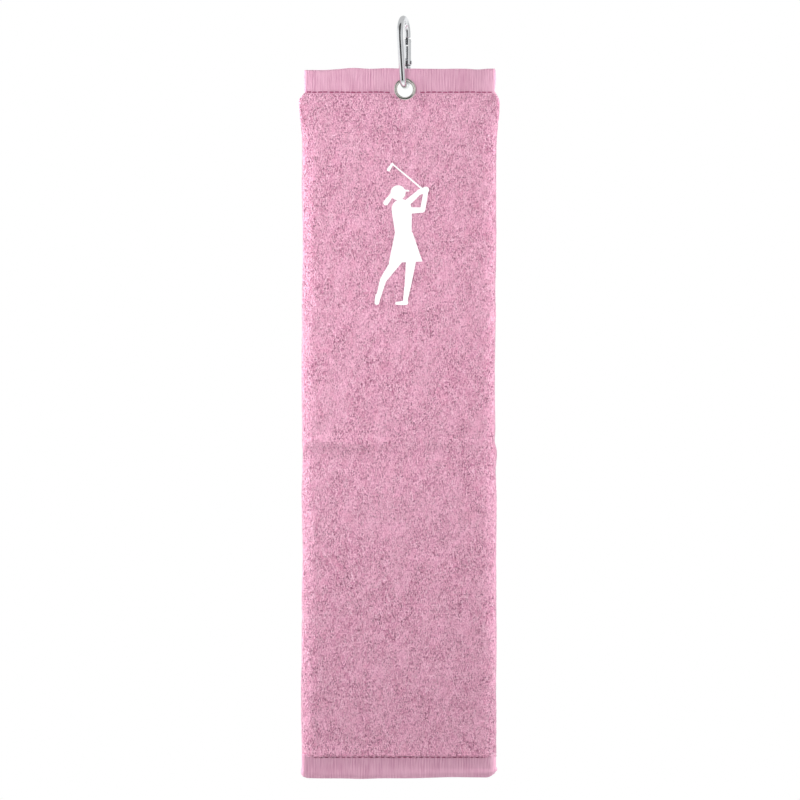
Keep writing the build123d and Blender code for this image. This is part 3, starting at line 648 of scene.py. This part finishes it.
def stitches(name, cloth_piece, ends, half_length, half_width, side, sink=lambda x: 0):
    """Crowned stitches between ends, (x, z) pairs, laid on the cloth and sunk into it by sink(x)."""
    tree = surface_tree(cloth_piece)
    rings, sides = 7, 6
    points, faces, places = [], [], []
    for (x0, z0), (x1, z1) in ends:
        base = len(points)
        centre = Vector(((x0 + x1) / 2, 0, (z0 + z1) / 2))
        run = Vector((x1 - x0, 0, z1 - z0)).normalized()
        cross = Vector((-run.z, 0, run.x))
        for i in range(rings):
            along_it = -1 + 2 * i / (rings - 1)
            middle = centre + run * (along_it * half_length)
            crown = math.sqrt(max(0.0, 1 - along_it ** 4))
            skin = surface_y(tree, middle.x, middle.z, side)
            for k in range(sides):
                angle = 2 * math.pi * k / sides
                width = half_width * max(crown, 0.15)
                spot = middle + cross * (width * math.cos(angle))
                rise = width * math.sin(angle) + half_width * (1.3 * crown - 0.9) - sink(middle.x)
                points.append((spot.x, skin + side * rise, spot.z))
                places.append((middle.x, spot.z + along_it * half_length, side))
        for i in range(rings - 1):
            for k in range(sides):
                a, b = base + i * sides + k, base + i * sides + (k + 1) % sides
                faces.append((a, b, b + sides, a + sides))
        faces.append(tuple(base + k for k in reversed(range(sides))))
        faces.append(tuple(base + (rings - 1) * sides + k for k in range(sides)))
    mesh_piece = make_piece(name, np.array(points), faces, np.array(places))
    whole = bmesh.new()
    whole.from_mesh(mesh_piece.data)
    bmesh.ops.recalc_face_normals(whole, faces=whole.faces)
    whole.to_mesh(mesh_piece.data)
    return mesh_piece


def row_along_x(node, half_length, drop=0.0):
    """Stitch ends along a CAD row of stitches, leaving out what the row leaves out."""
    mesh = frame["nodes"][node].data
    xs = np.array([v.co.x for v in mesh.vertices])
    z = sum(z_range(node)) / 2 - drop
    centres = []
    for x in np.sort(xs):
        if not centres or x - centres[-1][-1] > 0.8 * MM and x - centres[-1][0] > 3.2 * MM:
            centres.append([x])
        centres[-1].append(x)
    middles = [(c[0] + c[-1]) / 2 for c in centres]
    return [((x - half_length, z), (x + half_length, z)) for x in middles]


rng = np.random.default_rng(7)
film = golfer_film()

STITCH_L, STITCH_R = 1.5 * MM, 0.32 * MM  # halves of a stitch's length and width
SEAM_L, SEAM_R, SEAM_PITCH = 2.1 * MM, 0.50 * MM, 4 * MM  # the same on the top hem's seam
SEAM_DROP = 1.5 * MM  # from the CAD row down to the hem's foot
seam_row = row_along_x("top_hem_thread", SEAM_L, SEAM_DROP)
for end, step in ((seam_row[0], -SEAM_PITCH), (seam_row[-1], SEAM_PITCH)):  # one more at each end
    (x0, z0), (x1, z1) = end
    seam_row.append(((x0 + step, z0), (x1 + step, z1)))
seam_row.sort()
shifts = np.random.default_rng(11).normal(0, 0.08 * MM, (len(seam_row), 3))
seam_row = [((x0 + 2 * dx, z0 + dz), (x1 + 2 * dx, z1 + dz + tilt))
            for ((x0, z0), (x1, z1)), (dx, dz, tilt) in zip(seam_row, shifts)]
top_stitches = stitches(
    "top_hem_stitches", top_hem, seam_row, SEAM_L, SEAM_R, -1,
    lambda x: 0.02 * MM + 0.30 * MM * float(ripple(x, 9 * MM, 41)))
bottom_stitches = stitches(
    "bottom_hem_stitches", bottom_hem, row_along_x("bottom_hem_thread", STITCH_L), STITCH_L,
    STITCH_R, -1)
flap_stitches = stitches(
    "flap_hem_stitches", flap_hem, row_along_x("right_flap_hem_thread", STITCH_L), STITCH_L,
    STITCH_R, 1)
SIDE_ROW_X = RIGHT_FLAP_EDGE - 1.4 * MM
side_row = [((SIDE_ROW_X, z), (SIDE_ROW_X, z - 2.8 * MM))
            for z in np.arange(TOP_HEM_FOOT - 3 * MM, BOTTOM_HEM_TOP + 4 * MM, -4 * MM)]
side_stitches = stitches("back_side_hem_stitches", back_side_hem, side_row, STITCH_L, 0.3 * MM, 1)

LOOP_H, YARN_R = 1.0 * MM, 0.25 * MM
FOOT_PROUD = TERRY_PITCH + TERRY_T / 2 - 0.7 * MM  # how far out the full foot of the pile is


def at_foot(spots, places):
    proud = np.abs(spots[:, 1] - MID_Y) > FOOT_PROUD
    return (places[:, 2] > 0) & proud & (places[:, 1] < TERRY_FOOT + 2.2 * MM)


def at_folds(spots, places):
    beside = (spots[:, 0] < LEFT_X + 1.3 * MM) | (spots[:, 0] > RIGHT_X - 1.8 * MM)
    return (places[:, 2] > 0) & beside & (places[:, 1] < TOP_HEM_FOOT - 3 * MM)


front_fringe = yarn_loops("front_foot_loops", *scatter(front_terry, at_foot, 1.25 * MM, rng),
                          LOOP_H, YARN_R, rng)
back_fringe = yarn_loops("back_foot_loops", *scatter(back_terry, at_foot, 1.4 * MM, rng),
                         LOOP_H, YARN_R, rng)
fold_loops = yarn_loops("fold_loops", *scatter(front_terry, at_folds, 1.2 * MM, rng),
                        0.30 * LOOP_H, 0.7 * YARN_R, rng)


# ---- materials ----

def srgb(red, green, blue):
    """A linear colour from display values out of 255."""
    def linear(value):
        value /= 255
        return value / 12.92 if value <= 0.04045 else ((value + 0.055) / 1.055) ** 2.4
    return (linear(red), linear(green), linear(blue), 1)


class Nodes:
    """A node tree that is built up from its inputs."""

    def __init__(self, tree):
        self.tree = tree

    def node(self, kind, inputs, output=0, **settings):
        """Adds a node, fills its inputs with sockets or values, and gives its output."""
        node = self.tree.nodes.new(kind)
        for name, value in settings.items():
            setattr(node, name, value)
        for name, value in inputs.items():
            self.put(node.inputs[name], value)
        return node.outputs[output]

    def put(self, socket, value):
        if isinstance(value, bpy.types.NodeSocket):
            self.tree.links.new(value, socket)
        else:
            socket.default_value = value

    def math(self, operation, a, b=0.0):
        return self.node("ShaderNodeMath", {0: a, 1: b}, operation=operation)

    def waves(self, value, length):
        return self.math("COSINE", self.math("MULTIPLY", value, 2 * math.pi / length))

    def vector(self, operation, a, b):
        return self.node("ShaderNodeVectorMath", {0: a, 1: b}, operation=operation)

    def parts(self, vector):
        return self.node("ShaderNodeSeparateXYZ", {0: vector}).node.outputs

    def spread(self, value, low, high, to_low=0.0, to_high=1.0):
        """Maps a value from one range to another, smoothly, and keeps it inside."""
        return self.node("ShaderNodeMapRange", {"Value": value, "From Min": low, "From Max": high,
                                                "To Min": to_low, "To Max": to_high},
                         interpolation_type="SMOOTHSTEP")


SIDE_SIZE = 4.0  # against the 2 between the cloth's sides, so that they look alike but not the same


class Look(Nodes):
    """A node material. Sizes are in metres, on the cloth or in the row frame."""

    def __init__(self, name, on_cloth=True):
        self.material = bpy.data.materials.new(name)
        self.material.use_nodes = True
        super().__init__(self.material.node_tree)
        self.shader = self.tree.nodes["Principled BSDF"]
        if on_cloth:
            self.place = self.node("ShaderNodeAttribute", {}, "Vector", attribute_name="cloth")
        else:
            self.place = self.node("ShaderNodeTexCoord", {}, "Object")

    def stretched(self, size, place=None):
        """The place divided by a size along each axis. On the cloth the third is its side."""
        sizes = (*size, SIDE_SIZE)[:3]
        return self.vector("MULTIPLY", place or self.place, [1 / s for s in sizes])

    def noise(self, size, detail=2.0, place=None):
        """Noise from 0 to 1 with blots of that size, (along, down, through)."""
        return self.node("ShaderNodeTexNoise", {"Vector": self.stretched(size, place), "Scale": 1.0,
                                                "Detail": detail, "Roughness": 0.55})

    def total(self, *parts):
        """The sum of (value, share) pairs."""
        result = 0.0
        for value, share in parts:
            result = self.node("ShaderNodeMath", {0: value, 1: share, 2: result},
                               operation="MULTIPLY_ADD")
        return result

    def slanted(self, lean):
        """The place leaned sideways as it goes down the cloth."""
        parts = self.parts(self.place)
        across = self.total((parts["Y"], lean), (parts["X"], 1.0))
        return self.node("ShaderNodeCombineXYZ", {"X": across, "Y": parts["Y"]})

    def cells(self, size, place=None):
        """Distance from the middle of the nearest of many scattered cells, and a value for each."""
        inputs = {"Vector": self.stretched(size, place), "Scale": 1.0}
        cells = self.node("ShaderNodeTexVoronoi", inputs, voronoi_dimensions="2D").node.outputs
        return cells["Distance"], cells["Color"]

    def wandering(self, amount, size):
        """The place pushed about by noise, so that rows and cells aren't regular."""
        push = self.node("ShaderNodeTexNoise", {"Vector": self.stretched(size), "Scale": 1.0,
                                                "Detail": 1.0}, "Color")
        push = self.vector("SUBTRACT", push, (0.5, 0.5, 0.5))
        push = self.vector("MULTIPLY", push, (amount, amount, 0))
        return self.vector("ADD", self.place, push)

    def mix(self, share, first, second):
        """A colour between two."""
        node = self.tree.nodes.new("ShaderNodeMix")
        node.data_type = "RGBA"
        self.put(node.inputs[0], share)
        self.put(node.inputs[6], first)
        self.put(node.inputs[7], second)
        return node.outputs[2]

    def bump(self, height, distance, strength=1.0):
        return self.node("ShaderNodeBump",
                         {"Height": height, "Distance": distance, "Strength": strength})

    def shade(self, **inputs):
        """Fills the shader's sockets: Base_Color is Base Color, and so on."""
        for name, value in inputs.items():
            self.put(self.shader.inputs[name.replace("_", " ")], value)
        return self.material


def terry_look(name, painted_highlight, light, deep, painted_pit_shade):
    """Looped pile: loop heads of many tones, the highest lightened with a painted highlight, over pits
    darkened with painted shade, with naps that lie down the cloth.
    """
    look = Look(name)
    place = look.wandering(1.1 * MM, (2.2 * MM, 2.9 * MM, 1.0))
    distance, chance = look.cells((0.85 * MM, 1.45 * MM), place)
    head = look.math("MULTIPLY", look.spread(distance, 0.72, 0.10),
                     look.spread(chance, 0.2, 0.8, 0.35, 1.0))
    strands = look.noise((0.5 * MM, 3.2 * MM), 3.0, place)
    nap = look.noise((1.3 * MM, 11.0 * MM), 2.0, look.slanted(0.35))
    fibre = look.noise((0.4 * MM, 0.5 * MM))
    clumps = look.noise((3.6 * MM, 6.0 * MM))
    holes = look.spread(look.noise((0.85 * MM, 1.6 * MM), 1.0, place), 0.45, 0.29)
    height = look.total((head, 0.50), (strands, 1.0), (nap, 0.40), (fibre, 0.30), (clumps, 0.40),
                        (holes, -0.50))
    # Low parts of the pile take the deep colour and high parts the light one: partly the yarn's own
    # tones, partly painted shade.
    colour = look.mix(look.spread(height, 0.82, 1.46), deep, light)
    # Painted shade: the holes between the loops take the dark pit colour.
    colour = look.mix(look.math("MULTIPLY", holes, 0.65), colour, painted_pit_shade)
    # Painted highlight: the highest loop heads take the near-white shine colour.
    colour = look.mix(look.spread(height, 1.22, 1.75, 0.0, 0.9), colour, painted_highlight)
    warm = look.noise((7 * MM, 12 * MM))
    colour = look.mix(look.spread(warm, 0.52, 0.75, 0.0, 0.35), colour, TERRY_FLUSH)
    calm = look.noise((8 * MM, 17 * MM), 2.0, look.slanted(-0.45))
    colour = look.mix(look.spread(calm, 0.46, 0.66, 0.0, 0.26), colour, TERRY_SMOOTH)
    broad = look.noise((15 * MM, 34 * MM), 3.0)
    colour = look.mix(look.spread(broad, 0.35, 0.68, 0.0, 0.30), colour, light)
    rough = look.spread(fibre, 0.2, 0.8, 0.80, 0.98)
    return look.shade(Base_Color=colour, Roughness=rough,
                      Normal=look.bump(height, 0.9 * MM, look.spread(calm, 0.46, 0.66, 1.0, 0.75)),
                      Sheen_Weight=0.9, Sheen_Roughness=0.4, Sheen_Tint=srgb(255, 230, 240),
                      Specular_IOR_Level=0.15)


def hem_look(name, light, deep, groove):
    """Flat weave: uneven upright ribs crossed by fine picks, with slubs and a few darker threads."""
    look = Look(name)
    place = look.wandering(1.6 * MM, (8 * MM, 12 * MM, 1.0))
    parts = look.parts(place)
    rib = look.waves(parts["X"], 1.9 * MM)
    patch = look.spread(look.noise((12 * MM, 14 * MM), 1.0), 0.35, 0.65)
    pick = look.waves(parts["Y"], 0.6 * MM)
    slub = look.noise((0.6 * MM, 12.0 * MM), 3.0)
    fibre = look.noise((0.25 * MM, 0.6 * MM))
    height = look.total((look.math("MULTIPLY", rib, patch), 0.16), (pick, 0.05), (slub, 1.1),
                        (fibre, 0.3))
    colour = look.mix(look.spread(height, 0.35, 1.05), deep, light)
    dark = look.spread(look.noise((0.7 * MM, 18 * MM), 1.0), 0.58, 0.72, 0.0, 0.4)
    colour = look.mix(dark, colour, groove)
    broad = look.noise((11 * MM, 16 * MM))
    colour = look.mix(look.spread(broad, 0.35, 0.68, 0.0, 0.35), colour, light)
    return look.shade(Base_Color=colour, Roughness=look.spread(fibre, 0.2, 0.8, 0.72, 0.92),
                      Normal=look.bump(height, 0.30 * MM), Sheen_Weight=0.2, Sheen_Roughness=0.45,
                      Sheen_Tint=srgb(255, 232, 240), Specular_IOR_Level=0.25)


def thread_look(name, light, deep):
    """Twisted sewing thread."""
    look = Look(name)
    parts = look.parts(look.place)
    ply = look.waves(look.math("ADD", parts["Y"], parts["X"]), 0.5 * MM)
    fibre = look.noise((0.2 * MM, 0.2 * MM))
    height = look.math("ADD", look.math("MULTIPLY", ply, 0.5), fibre)
    colour = look.mix(look.spread(height, 0.1, 1.0), deep, light)
    return look.shade(Base_Color=colour, Roughness=look.spread(fibre, 0.2, 0.8, 0.55, 0.8),
                      Normal=look.bump(height, 0.1 * MM), Sheen_Weight=0.15,
                      Specular_IOR_Level=0.35)


def film_look(name):
    """Heat-pressed print film: the pile shows through it as a soft grain, with fine crazing."""
    look = Look(name)
    place = look.wandering(1.2 * MM, (2.6 * MM, 3.4 * MM, 1.0))
    grain, _ = look.cells((1.2 * MM, 1.6 * MM), place)
    fine = look.noise((0.6 * MM, 0.8 * MM), 3.0)
    height = look.math("ADD", look.math("MULTIPLY", grain, -0.6), look.math("MULTIPLY", fine, 0.5))
    tint = look.mix(look.spread(fine, 0.35, 0.7), srgb(250, 247, 248), srgb(255, 255, 255))
    worn = look.spread(look.noise((0.9 * MM, 1.1 * MM), 3.0), 0.73, 0.80, 0.0, 0.5)
    tint = look.mix(worn, tint, srgb(240, 214, 226))
    return look.shade(Base_Color=tint, Roughness=look.spread(fine, 0.2, 0.8, 0.42, 0.62),
                      Normal=look.bump(height, 0.08 * MM), Specular_IOR_Level=0.4)


def metal_look(name, colour, dull, roughness, rough_spread, grain, scratches, wear):
    """Plated or polished metal: fine drawn grain, faint scratches and a duller bloom in places."""
    look = Look(name, on_cloth=False)
    drawn = look.noise(grain, 3.0)
    scratch = look.spread(look.noise(scratches, 2.0), 0.62, 0.70)
    bloom = look.noise((5 * MM, 5 * MM, 5 * MM), 3.0)
    tint = look.mix(look.spread(bloom, 0.40, 0.72, 0.0, wear), colour, dull)
    rough = look.math("ADD", look.spread(drawn, 0.3, 0.7, roughness, roughness + rough_spread),
                      look.math("MULTIPLY", look.spread(bloom, 0.45, 0.75), rough_spread))
    rough = look.math("ADD", rough, look.math("MULTIPLY", scratch, 0.10))
    height = look.math("SUBTRACT", look.math("MULTIPLY", drawn, 0.4), scratch)
    return look.shade(Base_Color=tint, Roughness=rough, Metallic=1.0,
                      Normal=look.bump(height, 0.002 * MM))


TERRY_FLUSH, TERRY_SMOOTH = srgb(226, 148, 178), srgb(226, 164, 192)
# In each terry look the first colour is the painted highlight and the last the painted shade in the
# pits.
terry_cloth = terry_look("terry_pile", srgb(255, 212, 231), srgb(242, 184, 208), srgb(190, 120, 150),
                         srgb(132, 74, 102))
loop_yarn = terry_look("loop_yarn", srgb(252, 210, 228), srgb(240, 186, 210), srgb(222, 154, 184),
                       srgb(190, 120, 152))
hem_weave = hem_look("woven_hem", srgb(224, 176, 197), srgb(197, 139, 165), srgb(172, 106, 139))
hem_thread = thread_look("hem_thread", srgb(186, 94, 134), srgb(148, 62, 100))
print_white = film_look("print_film")
polished = metal_look("polished_aluminium", srgb(236, 238, 240), srgb(206, 209, 214), 0.09, 0.06,
                      (0.3 * MM, 0.3 * MM, 3 * MM), (0.15 * MM, 0.15 * MM, 6 * MM), 0.5)
pin_steel = metal_look("pin_steel", srgb(206, 208, 212), srgb(150, 152, 158), 0.22, 0.10,
                       (0.2 * MM, 0.2 * MM, 0.2 * MM), (0.1 * MM, 0.1 * MM, 1 * MM), 0.6)
spring_steel = metal_look("spring_steel", srgb(186, 188, 194), srgb(120, 122, 128), 0.26, 0.12,
                          (0.15 * MM, 0.15 * MM, 0.15 * MM), (0.1 * MM, 0.1 * MM, 0.5 * MM), 0.7)
nickel = metal_look("eyelet_nickel", srgb(232, 230, 224), srgb(188, 184, 176), 0.10, 0.07,
                    (0.4 * MM, 0.4 * MM, 0.4 * MM), (0.12 * MM, 2 * MM, 0.12 * MM), 0.6)


# ---- finishes and bodies ----

def copy_of(node, name):
    """A piece with the same mesh and place as a CAD node."""
    piece = add_object(name, frame["nodes"][node].data.copy())
    piece.matrix_world = frame["nodes"][node].matrix_world.copy()
    return piece


gate_coil = copy_of("gate_spring", "gate_coil")
for node, material in {"clip_body": polished, "gate": polished, "gate_pivot_pin": pin_steel,
                       "latch_pin": pin_steel, "spring_plunger": pin_steel,
                       "gate_spring": spring_steel, "eyelet": nickel, "eyelet_washer": nickel}.items():
    for material_slot in frame["nodes"][node].material_slots:
        material_slot.material = material

BENDS = "bends from the towel to the right flap"
PIECES = (
    (front_terry, terry_cloth, "terry", "towel", "front_panel", "right_fold"),
    (middle_terry, terry_cloth, "terry", "towel", "left_flap"),
    (back_terry, terry_cloth, "terry", BENDS, "right_flap_root", "right_flap"),
    (front_fringe, loop_yarn, "terry", "towel"),
    (back_fringe, loop_yarn, "terry", "right_flap"),
    (fold_loops, loop_yarn, "terry", "towel"),
    (top_hem, hem_weave, "woven_hem", "towel", "top_hem"),
    (bottom_hem, hem_weave, "woven_hem", "towel", "bottom_hem"),
    (flap_hem, hem_weave, "woven_hem", "right_flap", "right_flap_bottom_hem"),
    (middle_side_hem, hem_weave, "woven_hem", "towel", "left_flap_side_hem"),
    (back_side_hem, hem_weave, "woven_hem", BENDS, "right_flap_root_side_hem",
     "right_flap_side_hem"),
    (top_stitches, hem_thread, "thread", "towel", "top_hem_thread"),
    (bottom_stitches, hem_thread, "thread", "towel", "bottom_hem_thread"),
    (flap_stitches, hem_thread, "thread", "right_flap", "right_flap_hem_thread"),
    (side_stitches, hem_thread, "thread", BENDS),
    (film, print_white, "print_film", "towel", "golfer_print"),
    (gate_coil, spring_steel, "spring_steel", "gate", "gate_spring"),
)
for piece, material, slot, body, *nodes in PIECES:
    piece.data.materials.clear()
    piece.data.materials.append(material)
    if nodes:
        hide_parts(*nodes)
    if body is BENDS:
        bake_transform(piece)
    else:
        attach(piece, body)

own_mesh(gate_coil)


# ---- floor, light, camera ----

CAMERA_LENS, SENSOR, PICTURE_W = 190, 36, 0.5740
WORLD_LIGHT = 0.20
METAL_WHITE, METAL_GREY, METAL_DARK = 1.0, 0.62, 0.06
SLOT_X, SLOT_HALF, SLOT_FADE = -0.12, 0.42, 0.22
TARGET = Vector((MIDDLE_X + 0.6 * MM, MID_Y, CAD_HIGH.z - 275.5 * MM))


def area_light(name, place, height, size, power):
    """A lamp that looks at the towel's middle at that height, and isn't seen in the metal."""
    data = bpy.data.lights.new(name, "AREA")
    data.shape = "RECTANGLE"
    data.size, data.size_y = size
    data.energy = power
    lamp = add_object(name, data)
    lamp.location = place
    lamp.rotation_mode = "QUATERNION"
    away = Vector((MIDDLE_X, MID_Y, height)) - Vector(place)
    lamp.rotation_quaternion = away.to_track_quat("-Z", "Y")
    lamp.visible_glossy = False


def studio_world():
    """A white studio. Polished metal also finds a dark slot in front of it and a grey wall beside it."""
    world = bpy.data.worlds.new("studio")
    scene.world = world
    world.use_nodes = True
    nodes = Nodes(world.node_tree)
    parts = nodes.parts(nodes.node("ShaderNodeTexCoord", {}, "Generated"))
    aside = nodes.math("ABSOLUTE", nodes.math("SUBTRACT", parts["X"], SLOT_X))
    slot = nodes.math("MULTIPLY", nodes.spread(aside, SLOT_HALF + SLOT_FADE, SLOT_HALF),
                      nodes.spread(parts["Y"], -0.25, -0.45))
    wall = nodes.math("MAXIMUM", nodes.spread(parts["X"], 0.55, 0.90),
                      nodes.spread(parts["Z"], 0.15, 0.60))
    white = nodes.node("ShaderNodeMix", {0: wall, 2: METAL_WHITE, 3: METAL_GREY})
    mirrored = nodes.node("ShaderNodeMix", {0: slot, 2: white, 3: METAL_DARK})
    rays = nodes.node("ShaderNodeLightPath", {}).node.outputs
    soft = nodes.node("ShaderNodeMix", {0: rays["Is Glossy Ray"], 2: WORLD_LIGHT, 3: mirrored})
    strength = nodes.node("ShaderNodeMix", {0: rays["Is Camera Ray"], 2: soft, 3: 1.0})
    background = nodes.tree.nodes["Background"]
    nodes.put(background.inputs["Strength"], strength)
    nodes.put(background.inputs["Color"], (1, 1, 1, 1))


def studio_camera():
    """A long lens straight in front, far enough away for the picture's width at the towel."""
    data = bpy.data.cameras.new("camera")
    data.sensor_width = SENSOR
    data.lens = CAMERA_LENS
    data.clip_end = 50
    camera = add_object("camera", data)
    camera.location = TARGET + Vector((0, -PICTURE_W * CAMERA_LENS / SENSOR, 0))
    camera.rotation_euler = (math.pi / 2, 0, 0)
    scene.camera = camera


def floor():
    """A pale disc under the towel."""
    disc = bmesh.new()
    bmesh.ops.create_circle(disc, cap_ends=True, segments=96, radius=0.9)
    mesh = bpy.data.meshes.new("floor")
    disc.to_mesh(mesh)
    ground = add_object("floor", mesh)
    ground.location = (MIDDLE_X, MID_Y, BOTTOM_Z - 0.45)
    pale = Look("floor", on_cloth=False)
    mottle = pale.noise((0.2, 0.2, 0.2), 3.0)
    tint = pale.mix(mottle, srgb(244, 244, 244), srgb(250, 250, 250))
    ground.data.materials.append(pale.shade(Base_Color=tint, Roughness=0.8))


scene.view_settings.view_transform = "Standard"
studio_world()
area_light("key", (-0.15, -0.55, -0.13), TOP_Z - 180 * MM, (0.4, 0.4), 2.95)
area_light("fill_behind", (0.15, 0.60, -0.14), TOP_Z - 210 * MM, (0.4, 0.4), 3.0)
area_light("side_left", (-0.8, -0.02, -0.05), -0.22, (0.25, 0.8), 13.5)
area_light("side_right", (0.8, -0.02, -0.05), -0.22, (0.25, 0.8), 12.5)
studio_camera()
floor()
